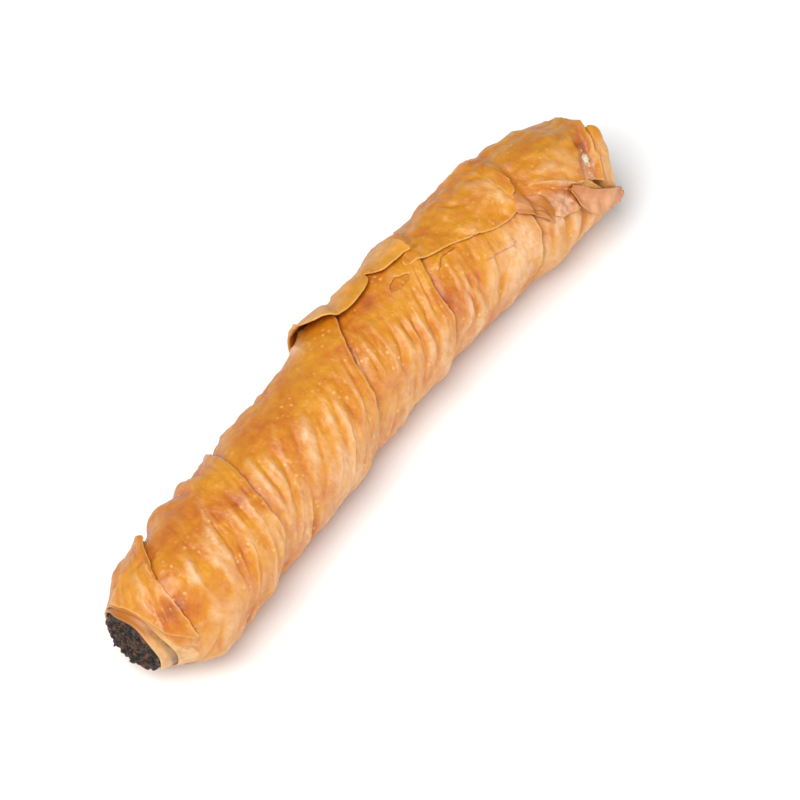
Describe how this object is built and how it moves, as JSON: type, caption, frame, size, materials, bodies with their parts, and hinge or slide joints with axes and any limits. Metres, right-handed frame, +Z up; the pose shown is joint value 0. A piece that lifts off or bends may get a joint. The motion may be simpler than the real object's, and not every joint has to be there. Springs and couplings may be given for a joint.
{
  "type": "spinach and cheese borek",
  "caption": "Baked pastry roll: a thin golden-brown dough strip wound in a spiral round a dark spinach and cheese filling that shows at both open ends.",
  "frame": {"origin": "centre of the bounding box's bottom face, on the surface that the roll lies on", "axes": "+X along the roll from the near mouth to the far mouth, +Z up, -Y towards the front"},
  "size_m": [0.2138, 0.0506, 0.0415],
  "materials": {
    "pastry": "golden-brown baked crust with a soft sheen",
    "filling": "dark, moist and craggy"
  },
  "bodies": {
    "root": {"pastry": "pastry", "filling": "filling"}
  },
  "joints": []
}
